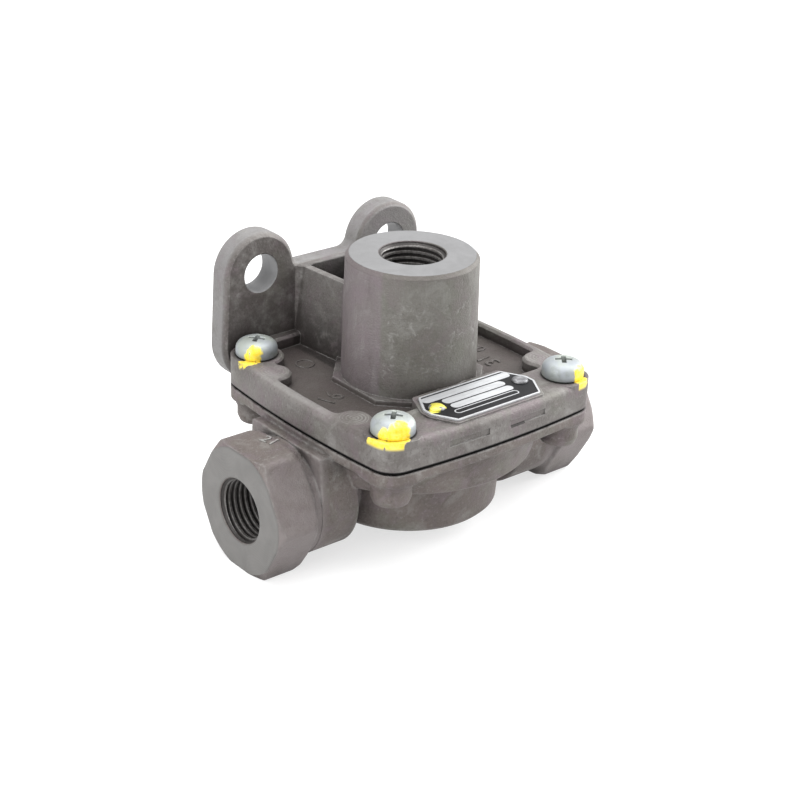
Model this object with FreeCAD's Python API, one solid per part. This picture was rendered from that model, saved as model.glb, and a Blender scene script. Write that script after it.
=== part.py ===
import FreeCAD, Part
import math
import os

# Pneumatic quick exhaust valve, in millimetres.
# The pieces are built about the axis of the supply port, with z = 0 on the joint face
# of the upper housing and the bracket lugs at +y. Each piece is moved at the end so that
# the origin lies on the bracket's rear face, midway between its two bolt holes.

V = FreeCAD.Vector

# Outline shared by the two castings and the gasket: a square with bowed sides
side_mid = 33.75          # valve axis to the middle of a side
side_bow = 1.35           # how far the middle stands out past the side's ends
side_end = 7.25           # side's bow ends this far short of the next side
corner_r = 5.8

# Joint between the castings
gasket_t = 0.8
gasket_inset = 0.4

# Upper housing
rim_z = 7.2               # top of the rim
edge_r = 1.8              # rounding of the rim's outer edge
rim_w = 3.0               # rim thickness, measured in from the outline
floor_z = 4.1             # floor of the recess inside the rim
recess_front_inset = 14.25  # front end of the recess, from the front side
recess_corner_r = 1.2     # upright corners of the recess
recess_lip = 0.6          # chamfer on the rim's inner edge
pad_r = 6.7               # round pad under each cover screw
pin_pad_r = 4.4           # ejector pad beside each screw pad
pin_pad_inset = 4.85
pin_pad_step = 10.6       # screw pad to ejector pad
panel_depth = 0.25        # two shallow panels in the front side
panel_z = (3.0, 4.6)
panels_x = ((-15.3, -3.7), (2.7, 13.9))

# Supply boss with port 1
boss_top_z = 35.9
boss_top_r = 15.9
boss_base_r = 16.4
boss_chamfer = 0.9
foot_margin = 0.35        # eight-sided foot under the boss, past the boss
foot_side = 8.2           # half of a straight side
foot_back_margin = 1.1    # the foot reaches further back, to the ribs
foot_draft = 0.25
foot_h = 1.3

# Threaded ports, M16 x 1.5
thread_r = 7.95           # wall, at the root of the thread
thread_mouth_r = 8.15     # countersunk mouth
supply_thread_depth = 15.0
delivery_thread_depth = 15.0
supply_bore_r = 6.2

# Bracket
lug_x = 20.0              # lug hole to the valve axis
lug_hole_r = 4.9
lug_hole_z = 24.5
lug_r = 10.3
lug_inset = 0.75          # front face of the lugs, in from the cover's rear side
lug_t = 6.5
lug_foot_z = 7.1          # centre of the lug's rounded lower end
lug_foot_r = 11.1
lug_edge = 1.1            # chamfer round the lugs and the web
web_top_z = 24.2
web_foot_z = 0.6
web_mid_t = 1.4           # the middle of the web stands forward of the lugs
web_fillet_r = 3.0
rib_back_x = 6.5          # inner face of a rib at the web
rib_front_x = 4.8         # inner face of a rib at the boss
rib_top_t = 1.9
rib_foot_t = 3.6

# Lower body
flange_t = 2.5
flange_edge = 0.4
bowl_inset = 0.65         # bowl's top, in from the middle of a side
bowl_taper = 2.1
bowl_foot_z = -12.0
bowl_edge = 0.7
cup_top_r = 23.6
cup_foot_r = 22.7
cup_foot_z = -26.6
cup_edge = 1.0
nut_boss_r = 4.76         # boss under each cover screw
nut_boss_z = -10.5
nut_boss_flare = 3.0
nut_boss_edge_r = 1.9
round_steps = 2           # straight steps that stand for a small rounding

# Delivery ports 2
port_z = -17.0
port_reach = 15.95        # port face, out from the middle of a side
collar_flat = 15.0        # half of the hexagon across flats
collar_face_r = 15.4
collar_chamfer = 1.3
collar_edge_r = 1.6       # rounding of the hexagon's long edges
collar_len = 11.4
collar_rear_r = 14.4
collar_round = 3.2
neck_len = 1.8            # round neck between the collar and the block
block_half_y = 14.5
block_top_half_y = 13.3
block_top_z = -2.4
block_depth = 5.0         # block's inner end, in from the foot of the bowl
duct_outer_r = 9.3
duct_r = 4.8
riser_r = 4.4

# Valve chamber
bowl_wall = 4.0
chamber_floor_z = -9.2
spigot_clear = 0.12
spigot_in_r = 21.0
cavity_z = 1.2            # roof of the supply cavity
supply_seat_z = -2.8      # seat under the upper housing, on which the diaphragm's rim seals
travel = 1.8
seat_gap = 0.1
diaphragm_t = 2.0
diaphragm_margin = 2.4    # diaphragm's edge to the chamber wall
diaphragm_lip = 0.7       # the outer lip is this much thinner
tower_in_r = 8.0
tower_wall = 2.6
tower_tip_wall = 1.0

# Guide under the diaphragm, and its spring
guide_clear = 0.08
guide_wing_t = 1.6
guide_plate_t = 1.2
guide_spigot_r = 2.4
guide_stem_r = 2.2
guide_stem_z = -13.5
guide_wing_z = -11.0
spring_wire_r = 0.45
spring_r = 5.0
spring_turns = 3          # active turns
spring_gap = 0.02

# Exhaust outlet
spider_top_z = -19.6
spider_arm_w = 2.6
spider_hub_r = 4.6
exhaust_r = 11.6
exhaust_cone_z = -15.5
flap_recess_r = 18.4
flap_seat_z = -24.4
flap_t = 1.3
flap_clear = 0.5
flap_stud_r = 1.9
flap_knob_r = 2.9
flap_knob_h = 1.6

# Cover screws, M6 pan head
screw_inset = 7.55        # screw axis, in from the middle of a side
screw_r = 2.92
screw_clear = 0.06
screw_hole_clear = 0.35
screw_len = 16.0
screw_head_r = 5.1
screw_head_h = 4.3
screw_edge_h = 1.5
screw_top_r = 1.2          # small flat at the crown of the head
recess_len = 5.2
recess_w = 1.2
recess_depth = 2.4

# Nameplate and its rivets
plate_x = 1.1
plate_gap = 1.0           # plate to the foot of the boss
plate_front_inset = 2.15  # plate to the front side of the cover
plate_half_x = 16.0
plate_clip_x = 3.3
plate_side = 1.4          # half of the straight end between two clipped corners
plate_t = 0.5
plate_margin = 0.6        # pad under the plate, past the plate
plate_back_margin = 1.6   # and past it towards the boss
plate_corner_r = 1.0
plate_pad_rise = 0.5
rivet_x = 12.9
rivet_y = 0.3             # rivets behind the plate's middle line
rivet_shank_r = 1.0
rivet_head_r = 2.0
rivet_head_h = 0.9
rivet_top_r = 0.7
rivet_edge_h = 0.25
rivet_len = 3.0

# Worked out from the values above
side_half = side_mid - side_end
screw_x = side_mid - screw_inset
pin_pad_x = side_mid - pin_pad_inset
pin_pad_y = screw_x - pin_pad_step
recess_front_y = recess_front_inset - side_mid
foot_half = boss_base_r + foot_margin
foot_back_y = boss_base_r + foot_back_margin
lug_front_y = side_mid - lug_inset
lug_back_y = lug_front_y + lug_t
web_mid_y = lug_front_y - web_mid_t
bowl_top_r = side_mid - bowl_inset
bowl_foot_r = bowl_top_r - bowl_taper
chamber_r = bowl_foot_r - bowl_wall
diaphragm_r = chamber_r - diaphragm_margin
tower_out_r = tower_in_r + tower_wall
riser_x = (tower_out_r + chamber_r) / 2
port_face_x = side_mid + port_reach
collar_rear_x = port_face_x - collar_len
block_out_x = collar_rear_x - neck_len
block_in_x = bowl_foot_r - block_depth
plate_half_y = (side_mid - plate_front_inset - boss_base_r - plate_gap) / 2
plate_y = -(boss_base_r + plate_gap + plate_half_y)
plate_seat_z = rim_z + plate_pad_rise
body_top_z = -gasket_t
flange_foot_z = body_top_z - flange_t
tower_top_z = supply_seat_z - seat_gap - diaphragm_t - travel - seat_gap
screw_tip_z = rim_z - screw_len
origin = V(0, lug_back_y, lug_hole_z)


def cylinder(r, z0, z1, x=0, y=0):
    return Part.makeCylinder(r, z1 - z0, V(x, y, z0), V(0, 0, 1))


def x_cylinder(r, x0, x1):
    return Part.makeCylinder(r, x1 - x0, V(x0, 0, port_z), V(1, 0, 0))


def box(x0, x1, y0, y1, z0, z1):
    return Part.makeBox(x1 - x0, y1 - y0, z1 - z0, V(x0, y0, z0))


def revolve(points, axis=V(0, 0, 1), centre=V(0, 0, 0)):
    """Turns a closed profile through a full circle. A point is (r, z), or (r, z, r, z) for an
    arc that passes through the first pair and ends at the second."""
    edges = []
    here = V(points[0][0], 0, points[0][1])
    for p in points[1:] + points[:1]:
        end = V(p[-2], 0, p[-1])
        if len(p) == 4:
            edges.append(Part.Arc(here, V(p[0], 0, p[1]), end).toShape())
        else:
            edges.append(Part.LineSegment(here, end).toShape())
        here = end
    solid = Part.Face(Part.Wire(edges)).revolve(V(0, 0, 0), V(0, 0, 1), 360)
    solid.Placement = FreeCAD.Placement(centre, FreeCAD.Rotation(V(0, 0, 1), axis))
    return solid


def outline(inset=0.0):
    """Wire of the bowed square, moved in by inset, in the plane z = 0."""
    big_r = (side_half ** 2 + side_bow ** 2) / (2 * side_bow)
    arc_mid = side_mid - big_r
    # centre of the corner arc, which touches both bowed sides
    b = -arc_mid
    c = (arc_mid ** 2 - (big_r - corner_r) ** 2) / 2
    corner = (-b + math.sqrt(b * b - 4 * c)) / 2
    bow_r = big_r - inset
    turn_r = corner_r - inset
    touch_angle = math.atan2(corner, corner - arc_mid)
    edges = []
    for quarter in range(4):
        spin = FreeCAD.Rotation(V(0, 0, 1), 90 * quarter)
        lower = V(arc_mid + bow_r * math.cos(touch_angle), -bow_r * math.sin(touch_angle), 0)
        middle = V(arc_mid + bow_r, 0, 0)
        upper = V(lower.x, -lower.y, 0)
        turn_mid = V(corner + turn_r / math.sqrt(2), corner + turn_r / math.sqrt(2), 0)
        turn_end = V(upper.y, upper.x, 0)
        for a, m, e in ((lower, middle, upper), (upper, turn_mid, turn_end)):
            ends = [spin.multVec(p) for p in (a, m, e)]
            edges.append(Part.Arc(*ends).toShape())
    return Part.Wire(edges)


def slab(z0, z1, inset=0.0):
    face = Part.Face(outline(inset))
    face.translate(V(0, 0, z0))
    return face.extrude(V(0, 0, z1 - z0))


def edges_at(shape, z):
    return [e for e in shape.Edges if abs(e.BoundBox.ZMin - z) < 1e-4 and abs(e.BoundBox.ZMax - z) < 1e-4]


def corners(x, y):
    return [(sx * x, sy * y) for sx in (-1, 1) for sy in (-1, 1)]


def uprights(shape):
    return [e for e in shape.Edges if e.BoundBox.XLength < 1e-4 and e.BoundBox.YLength < 1e-4]


def plate_body(grow, back, z0, z1):
    """Long plate with clipped corners, grown all round and further towards the boss."""
    hx = plate_half_x + grow
    hy = plate_half_y + grow
    rear = plate_half_y + back
    cx = hx - plate_clip_x
    outline = [(cx, -hy), (hx, -plate_side), (hx, plate_side), (cx, rear)]
    outline += [(-x, y) for x, y in reversed(outline)]
    points = [V(plate_x + x, plate_y + y, z0) for x, y in outline]
    body = Part.Face(Part.makePolygon(points + points[:1])).extrude(V(0, 0, z1 - z0))
    return body.makeFillet(plate_corner_r, uprights(body))


def plate_pad(z0, z1):
    return plate_body(plate_margin, plate_back_margin, z0, z1)


def rivet_places():
    return [(plate_x - rivet_x, plate_y + rivet_y), (plate_x + rivet_x, plate_y + rivet_y)]


def rivet_holes(foot):
    top = plate_seat_z + plate_t + 1
    return [cylinder(rivet_shank_r, foot, top, x, y) for x, y in rivet_places()]


def screw_holes(clearance, z0, z1):
    places = corners(screw_x, screw_x)
    return [cylinder(screw_r + clearance, z0, z1, x, y) for x, y in places]


def cover_recess():
    """Recess inside the rim, left open round the screw pads and the ejector pads."""
    high = rim_z + 1
    cut = slab(floor_z, high, rim_w)
    cut = cut.common(box(-side_mid, side_mid, recess_front_y, side_mid, floor_z, high))
    pads = [cylinder(pad_r, floor_z, high, x, y) for x, y in corners(screw_x, screw_x)]
    pads += [cylinder(pin_pad_r, floor_z, high, x, y) for x, y in corners(pin_pad_x, pin_pad_y)]
    # the screw pads and ejector pads close off slivers, which stay filled
    cut = max(cut.cut(pads).removeSplitter().Solids, key=lambda solid: solid.Volume)
    cut = cut.makeFillet(recess_corner_r, uprights(cut))
    return cut.cut(plate_pad(floor_z, high))


def cover_slab():
    """Plate of the upper housing, with its rim, screw pads and recess."""
    block = slab(0, rim_z)
    block = block.makeFillet(edge_r, edges_at(block, rim_z))
    pads = []
    for x, y in corners(screw_x, screw_x):
        pads.append(cylinder(pad_r, rim_z - edge_r, rim_z, x, y).common(slab(0, rim_z)))
    block = block.fuse(pads).removeSplitter()
    recess = cover_recess()
    block = block.cut(recess)
    plate = plate_pad(floor_z, rim_z + 1)
    lip = []
    for edge in edges_at(block, rim_z):
        middle = Part.Vertex(edge.valueAt((edge.FirstParameter + edge.LastParameter) / 2))
        if recess.distToShape(middle)[0] < 1e-5 and plate.distToShape(middle)[0] > 0.5:
            lip.append(edge)
    return block.makeChamfer(recess_lip, lip)


def foot_outline(grow, z):
    """Clipped square round the foot of the boss."""
    h = foot_half + grow
    back = foot_back_y + grow
    half = [(foot_side, -h), (h, -foot_side), (h, foot_side), (foot_side, back)]
    points = [V(x, y, z) for x, y in half]
    points += [V(-x, y, z) for x, y in reversed(half)]
    return Part.makePolygon(points + points[:1])


def front_panels():
    """Shallow panels sunk in the cover's front side."""
    low, high = panel_z
    cuts = [box(x0, x1, -side_mid - 1, -side_mid + side_bow + 1, low, high) for x0, x1 in panels_x]
    kept = slab(low, high, panel_depth)
    return [cut.cut(kept) for cut in cuts]


def supply_boss():
    """Tapered round boss on a low foot with clipped corners."""
    base = floor_z - 0.5
    top = floor_z + foot_h
    boss = revolve([
        (0, base), (boss_base_r, base), (boss_base_r, top), (boss_top_r, boss_top_z - boss_chamfer),
        (boss_top_r - boss_chamfer, boss_top_z), (0, boss_top_z)])
    foot = Part.makeLoft([foot_outline(foot_draft, base), foot_outline(0, top)], True)
    return boss.fuse(foot)


def lug_cylinder(r, x, z, grow=0.0):
    return Part.makeCylinder(r, lug_t + 2 * grow, V(x, lug_front_y - grow, z), V(0, 1, 0))


def arc_xz(cx, cz, r, start, end):
    """Arc in the bracket's front plane, between two angles in degrees."""
    points = []
    for turn in (start, (start + end) / 2, end):
        t = math.radians(turn)
        points.append(V(cx + r * math.cos(t), lug_front_y, cz + r * math.sin(t)))
    return Part.Arc(*points).toShape()


def bracket_plate():
    """Two tapered lugs joined by a web, with hollow corners between them."""
    f = web_fillet_r
    tilt = math.degrees(math.asin((lug_foot_r - lug_r) / (lug_hole_z - lug_foot_z)))
    # angles at which the web's hollow corners touch the lugs
    upper = 180 - math.degrees(math.asin((web_top_z + f - lug_hole_z) / (lug_r + f)))
    lower = 180 + math.degrees(math.asin((lug_foot_z - web_foot_z + f) / (lug_foot_r + f)))
    upper_x = lug_x + (lug_r + f) * math.cos(math.radians(upper))
    lower_x = lug_x + (lug_foot_r + f) * math.cos(math.radians(lower))
    half = [
        arc_xz(lower_x, web_foot_z - f, f, 90, lower - 180),
        arc_xz(lug_x, lug_foot_z, lug_foot_r, lower - 360, tilt),
        arc_xz(lug_x, lug_hole_z, lug_r, tilt, upper),
        arc_xz(upper_x, web_top_z + f, f, upper - 180, -90)]
    edges = list(half)
    for edge in half:
        edges.append(edge.mirror(V(0, 0, 0), V(1, 0, 0)))
    for x, z in ((upper_x, web_top_z), (lower_x, web_foot_z)):
        edges.append(Part.LineSegment(V(-x, lug_front_y, z), V(x, lug_front_y, z)).toShape())
    first, second = half[1].Vertexes[-1].Point, half[2].Vertexes[0].Point
    for side in (1, -1):
        a = V(side * first.x, first.y, first.z)
        edges.append(Part.LineSegment(a, V(side * second.x, second.y, second.z)).toShape())
    face = Part.Face(Part.Wire(Part.__sortEdges__(edges)))
    plate = face.extrude(V(0, lug_t, 0))
    rims = [e for e in plate.Edges if e.BoundBox.YLength < 1e-4]
    return plate.makeChamfer(lug_edge, rims)


def web_middle():
    """Thickened middle of the web, to which the ribs run."""
    inner = lug_x - lug_r
    plan = Part.makePolygon([
        V(inner, lug_front_y + 1, 0), V(inner, lug_front_y, 0), V(rib_back_x + rib_top_t, web_mid_y, 0),
        V(-rib_back_x - rib_top_t, web_mid_y, 0), V(-inner, lug_front_y, 0), V(-inner, lug_front_y + 1, 0),
        V(inner, lug_front_y + 1, 0)])
    return Part.Face(plan).extrude(V(0, 0, web_top_z))


def rear_wall():
    """Joins the bracket to the whole length of the cover's rear side."""
    return box(-side_half, side_half, side_mid - rim_w + 0.4, lug_front_y + lug_edge, web_foot_z, rim_z)


def rib(side):
    """Drafted rib from the web to the boss: thin at the top and thick at the foot."""
    back_y = web_mid_y + 1
    front_y = boss_top_r * 0.7

    def section(z, back_t, front_t):
        points = [V(side * rib_back_x, back_y, z), V(side * (rib_back_x + back_t), back_y, z),
                  V(side * (rib_front_x + front_t), front_y, z), V(side * rib_front_x, front_y, z)]
        return Part.makePolygon(points + points[:1])

    low = section(floor_z - 0.5, rib_foot_t, rib_foot_t)
    high = section(web_top_z, rib_top_t, rib_top_t)
    return Part.makeLoft([low, high], True)


def lug_holes():
    return [lug_cylinder(lug_hole_r, x, lug_hole_z, 1) for x in (-lug_x, lug_x)]


def body_clearance():
    """Keeps the bracket's lower end clear of the lower body's flange."""
    reach = lug_x + lug_foot_r + 1
    gap = 2 * gasket_inset
    return box(-reach, reach, lug_front_y - 1, side_mid + gap, lug_foot_z - lug_foot_r - 1, 0)


def supply_passage():
    mouth = thread_mouth_r - thread_r
    foot = boss_top_z - supply_thread_depth
    neck = thread_r - supply_bore_r
    return revolve([
        (0, cavity_z - 0.5), (supply_bore_r, cavity_z - 0.5), (supply_bore_r, foot - neck),
        (thread_r, foot), (thread_r, boss_top_z - mouth), (thread_mouth_r, boss_top_z),
        (thread_mouth_r, boss_top_z + 1), (0, boss_top_z + 1)])


def upper_housing():
    shape = cover_slab()
    shape = shape.fuse(plate_pad(rim_z - 1, plate_seat_z))
    shape = shape.fuse([supply_boss(), bracket_plate(), web_middle(), rear_wall(), rib(-1), rib(1)])
    spigot = cylinder(chamber_r - spigot_clear, supply_seat_z, 1)
    shape = shape.cut(body_clearance())
    shape = shape.fuse(spigot)
    shape = shape.cut(cylinder(spigot_in_r, supply_seat_z - 1, cavity_z))
    shape = shape.cut([supply_passage()] + lug_holes() + front_panels())
    holes = screw_holes(screw_hole_clear, -1, rim_z + 1)
    holes += rivet_holes(plate_seat_z - rivet_len)
    return shape.cut(holes).removeSplitter()


def housing_gasket():
    ring = slab(-gasket_t, 0, gasket_inset)
    cuts = [cylinder(chamber_r, -gasket_t - 1, 1)]
    return ring.cut(cuts + screw_holes(screw_hole_clear, -gasket_t - 1, 1))


def steps(centre, r, start, end):
    """Points on an arc of a profile, between two angles in degrees."""
    points = []
    for i in range(round_steps + 1):
        turn = math.radians(start + (end - start) * i / round_steps)
        points.append((centre[0] + r * math.cos(turn), centre[1] + r * math.sin(turn)))
    return points


def nut_boss(x, y):
    """Boss under a cover screw, flared into the flange and rounded at its end."""
    e = nut_boss_edge_r
    s = nut_boss_flare
    profile = [(0, nut_boss_z)]
    profile += steps((nut_boss_r - e, nut_boss_z + e), e, -90, 0)
    profile += steps((nut_boss_r + s, flange_foot_z - s), s, 180, 90)
    profile += [(nut_boss_r + s, body_top_z), (0, body_top_z)]
    return revolve(profile, centre=V(x, y, 0))


def bowl_and_cup():
    return revolve([
        (0, cup_foot_z), (cup_foot_r - cup_edge, cup_foot_z), (cup_foot_r, cup_foot_z + cup_edge),
        (cup_top_r, bowl_foot_z), (bowl_foot_r - bowl_edge, bowl_foot_z),
        (bowl_foot_r, bowl_foot_z + bowl_edge), (bowl_top_r, flange_foot_z),
        (bowl_top_r, body_top_z), (0, body_top_z)])


def collar():
    """Hexagon with flats above and below, faced and chamfered at the mouth and rounded behind."""
    reach = collar_flat / math.cos(math.pi / 6)
    points = []
    for i in range(6):
        turn = math.radians(60 * i)
        points.append(V(collar_rear_x - 1, reach * math.cos(turn), port_z + reach * math.sin(turn)))
    prism = Part.Face(Part.makePolygon(points + points[:1])).extrude(V(port_face_x - collar_rear_x + 1, 0, 0))
    long_edges = [e for e in prism.Edges if e.BoundBox.YLength < 1e-4 and e.BoundBox.ZLength < 1e-4]
    prism = prism.makeFillet(collar_edge_r, long_edges)
    rear = steps((reach - collar_round, collar_rear_x + collar_round), collar_round, -90, 0)
    barrel = revolve([(0, collar_rear_x)] + rear + [
        (reach, port_face_x - collar_chamfer), (collar_face_r, port_face_x), (0, port_face_x)],
        V(1, 0, 0), V(0, 0, port_z))
    return prism.common(barrel)


def port_block():
    """Upright-sided block with a round bottom, between the bowl and the collar."""
    x = block_in_x
    edges = [
        Part.LineSegment(V(x, -block_top_half_y, block_top_z), V(x, block_top_half_y, block_top_z)),
        Part.LineSegment(V(x, block_top_half_y, block_top_z), V(x, block_half_y, port_z)),
        Part.Arc(V(x, block_half_y, port_z), V(x, 0, port_z - block_half_y), V(x, -block_half_y, port_z)),
        Part.LineSegment(V(x, -block_half_y, port_z), V(x, -block_top_half_y, block_top_z))]
    wire = Part.Wire([e.toShape() for e in edges])
    return Part.Face(wire).extrude(V(block_out_x - x, 0, 0))


def delivery_port():
    neck = x_cylinder(collar_rear_r, block_out_x - 1, collar_rear_x)
    return collar().fuse([neck, port_block(), x_cylinder(duct_outer_r, tower_out_r, block_in_x + 1)])


def delivery_passage():
    mouth = thread_mouth_r - thread_r
    foot = port_face_x - delivery_thread_depth
    threaded = revolve([
        (0, riser_x - riser_r), (duct_r, riser_x - riser_r), (duct_r, foot - (thread_r - duct_r)),
        (thread_r, foot),
        (thread_r, port_face_x - mouth), (thread_mouth_r, port_face_x),
        (thread_mouth_r, port_face_x + 1), (0, port_face_x + 1)], V(1, 0, 0), V(0, 0, port_z))
    riser = cylinder(riser_r, port_z, chamber_floor_z + 1, riser_x)
    return threaded.fuse(riser)


def mirrored(shape):
    return shape.mirror(V(0, 0, 0), V(1, 0, 0))


def valve_chamber():
    """Ring-shaped chamber round the exhaust tower."""
    tip_r = tower_in_r + tower_tip_wall
    return revolve([
        (0, tower_top_z), (tip_r, tower_top_z),
        (tower_out_r, chamber_floor_z + 1), (tower_out_r, chamber_floor_z),
        (chamber_r, chamber_floor_z), (chamber_r, body_top_z + 1), (0, body_top_z + 1)])


def exhaust_passage():
    return revolve([
        (0, flap_seat_z - 0.5), (exhaust_r, flap_seat_z - 0.5), (exhaust_r, exhaust_cone_z - 2),
        (tower_in_r, exhaust_cone_z), (tower_in_r, tower_top_z + 1), (0, tower_top_z + 1)])


def exhaust_spider():
    """Hub that carries the flap and the spring, on three arms."""
    hub = cylinder(spider_hub_r, flap_seat_z, spider_top_z)
    arms = []
    for i in range(3):
        arm = box(0, exhaust_r + 1, -spider_arm_w / 2, spider_arm_w / 2, flap_seat_z, spider_top_z)
        arm.rotate(V(0, 0, 0), V(0, 0, 1), 90 + 120 * i)
        arms.append(arm)
    return hub.fuse(arms).cut(flap_stud(guide_clear))


def flap_stud(grow=0.0):
    """Stud and knob that hold the flap in the hub."""
    pocket = spider_top_z - flap_knob_h
    stud = cylinder(flap_stud_r + grow, flap_seat_z - 1, pocket)
    return stud.fuse(cylinder(flap_knob_r + grow, pocket, spider_top_z - 0.2 + 3 * grow))


def lower_body():
    flange = slab(flange_foot_z, body_top_z)
    shape = flange.makeChamfer(flange_edge, edges_at(flange, flange_foot_z))
    bosses = [nut_boss(x, y).common(slab(nut_boss_z, body_top_z)) for x, y in corners(screw_x, screw_x)]
    port = delivery_port()
    bowl = bowl_and_cup().common(slab(cup_foot_z - 1, body_top_z))
    shape = shape.fuse([bowl, port, mirrored(port)] + bosses)
    passage = delivery_passage()
    recess = cylinder(flap_recess_r, cup_foot_z - 1, flap_seat_z)
    shape = shape.cut([valve_chamber(), exhaust_passage(), recess, passage, mirrored(passage)])
    shape = shape.fuse(exhaust_spider())
    return shape.cut(screw_holes(screw_clear, screw_tip_z - 0.6, body_top_z + 1)).removeSplitter()


def valve_diaphragm():
    """Rubber disc with a thinner outer lip and a raised ring over the exhaust seat."""
    top = supply_seat_z - seat_gap
    foot = top - diaphragm_t
    ring_r = tower_out_r + 1.2
    return revolve([
        (guide_spigot_r, foot), (ring_r, foot), (ring_r + 1.5, foot + diaphragm_lip),
        (diaphragm_r, foot + diaphragm_lip), (diaphragm_r, top), (guide_spigot_r, top)])


def diaphragm_guide():
    """Moulded guide: a plate under the diaphragm, a spigot through it and four wings in the tower."""
    top = supply_seat_z - seat_gap
    foot = top - diaphragm_t
    wing_r = tower_in_r - guide_clear
    plate_r = tower_in_r - 1.2
    core = revolve([
        (0, guide_stem_z), (guide_stem_r - 0.4, guide_stem_z), (guide_stem_r, guide_stem_z + 0.4),
        (guide_stem_r, foot - guide_plate_t), (plate_r, foot - guide_plate_t), (plate_r, foot),
        (guide_spigot_r, foot), (guide_spigot_r, top), (guide_spigot_r + 1.1, top),
        (guide_spigot_r + 0.6, top + 0.8), (0, top + 0.8)])
    wings = []
    for i in range(4):
        wing = box(plate_r - 0.8, wing_r, -guide_wing_t / 2, guide_wing_t / 2, guide_wing_z, foot)
        wing.rotate(V(0, 0, 0), V(0, 0, 1), 45 + 90 * i)
        wings.append(wing.common(cylinder(wing_r, guide_wing_z, foot)))
    return core.fuse(wings).removeSplitter()


def return_spring():
    """Compression spring between the spider and the guide's plate, as tilted half turns.
    The first and last turns are closed."""
    low = spider_top_z + spring_wire_r + spring_gap
    high = supply_seat_z - seat_gap - diaphragm_t - guide_plate_t - spring_wire_r - spring_gap
    closed = spring_wire_r + 0.03
    active = (high - low - 4 * closed) / (2 * spring_turns)
    rises = [closed] * 2 + [active] * (2 * spring_turns) + [closed] * 2
    section = []
    for i in range(6):
        turn = math.radians(60 * i)
        section.append(V(spring_r + spring_wire_r * math.cos(turn), 0, low + spring_wire_r * math.sin(turn)))
    halves = []
    side = 1
    z = low
    for rise in rises:
        across = V(-2 * side * spring_r, 0, rise)
        middle = V(0, 0, z + rise / 2)
        axis = V(0, side, 0).cross(across)
        face = Part.Face(Part.makePolygon(section + section[:1]))
        halves.append(face.revolve(middle, axis, 180))
        half_turn = FreeCAD.Rotation(axis, 180)
        section = [middle + half_turn.multVec(p - middle) for p in section]
        side = -side
        z += rise
    return halves[0].fuse(halves[1:])


def exhaust_flap():
    """Rubber flap that keeps dirt out of the exhaust."""
    r = flap_recess_r - flap_clear
    top = flap_seat_z - 0.05
    disc = revolve([
        (0, top - flap_t), (r - 0.6, top - flap_t + 0.5), (r, top - 0.4), (r, top), (0, top)])
    return disc.fuse(flap_stud()).removeSplitter()


def cover_screw(x, y):
    """Pan-head screw with a cross recess."""
    dome = screw_head_h - screw_edge_h
    crown = rim_z + screw_head_h
    body = revolve([
        (0, screw_tip_z), (screw_r - 0.5, screw_tip_z), (screw_r, screw_tip_z + 0.5), (screw_r, rim_z),
        (screw_head_r - 0.15, rim_z), (screw_head_r, rim_z + 0.15), (screw_head_r, rim_z + screw_edge_h),
        (screw_head_r * 0.90, crown - dome * 0.54), (screw_head_r * 0.68, crown - dome * 0.21),
        (screw_top_r, crown), (0, crown)])
    cross = []
    for i in range(2):
        slot = box(-recess_len / 2, recess_len / 2, -recess_w / 2, recess_w / 2,
                   crown - recess_depth, crown + 1)
        slot.rotate(V(0, 0, 0), V(0, 0, 1), 45 + 90 * i)
        cross.append(slot)
    tool = cross[0].fuse(cross[1])
    body = body.cut(tool)
    body.translate(V(x, y, 0))
    return body


def nameplate():
    plate = plate_body(0, 0, plate_seat_z, plate_seat_z + plate_t)
    return plate.cut(rivet_holes(plate_seat_z - 1))


def plate_rivet(x, y):
    seat = plate_seat_z + plate_t
    body = revolve([
        (0, plate_seat_z - rivet_len), (rivet_shank_r, plate_seat_z - rivet_len), (rivet_shank_r, seat),
        (rivet_head_r, seat), (rivet_head_r, seat + rivet_edge_h),
        (rivet_head_r * 0.72, seat + rivet_head_h * 0.78),
        (rivet_top_r, seat + rivet_head_h),
        (0, seat + rivet_head_h)])
    body.translate(V(x, y, 0))
    return body


def pieces():
    made = {
        "upper_housing": upper_housing(),
        "lower_body": lower_body(),
        "housing_gasket": housing_gasket(),
        "valve_diaphragm": valve_diaphragm(),
        "diaphragm_guide": diaphragm_guide(),
        "return_spring": return_spring(),
        "exhaust_flap": exhaust_flap(),
        "nameplate": nameplate()}
    places = (("rear_left", -1, 1), ("rear_right", 1, 1), ("front_left", -1, -1), ("front_right", 1, -1))
    for name, sx, sy in places:
        made["cover_screw_" + name] = cover_screw(sx * screw_x, sy * screw_x)
    for name, place in zip(("left", "right"), rivet_places()):
        made["plate_rivet_" + name] = plate_rivet(*place)
    return made


os.makedirs("parts", exist_ok=True)
for node, solid in pieces().items():
    solid.translate(origin * -1)
    solid.Solids[0].exportStep("parts/" + node + ".step")
    print(node, solid.ShapeType, len(solid.Solids), round(solid.Volume, 1), solid.isValid())
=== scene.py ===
import bpy
import bmesh
import math
from mathutils import Matrix, Vector


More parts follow.
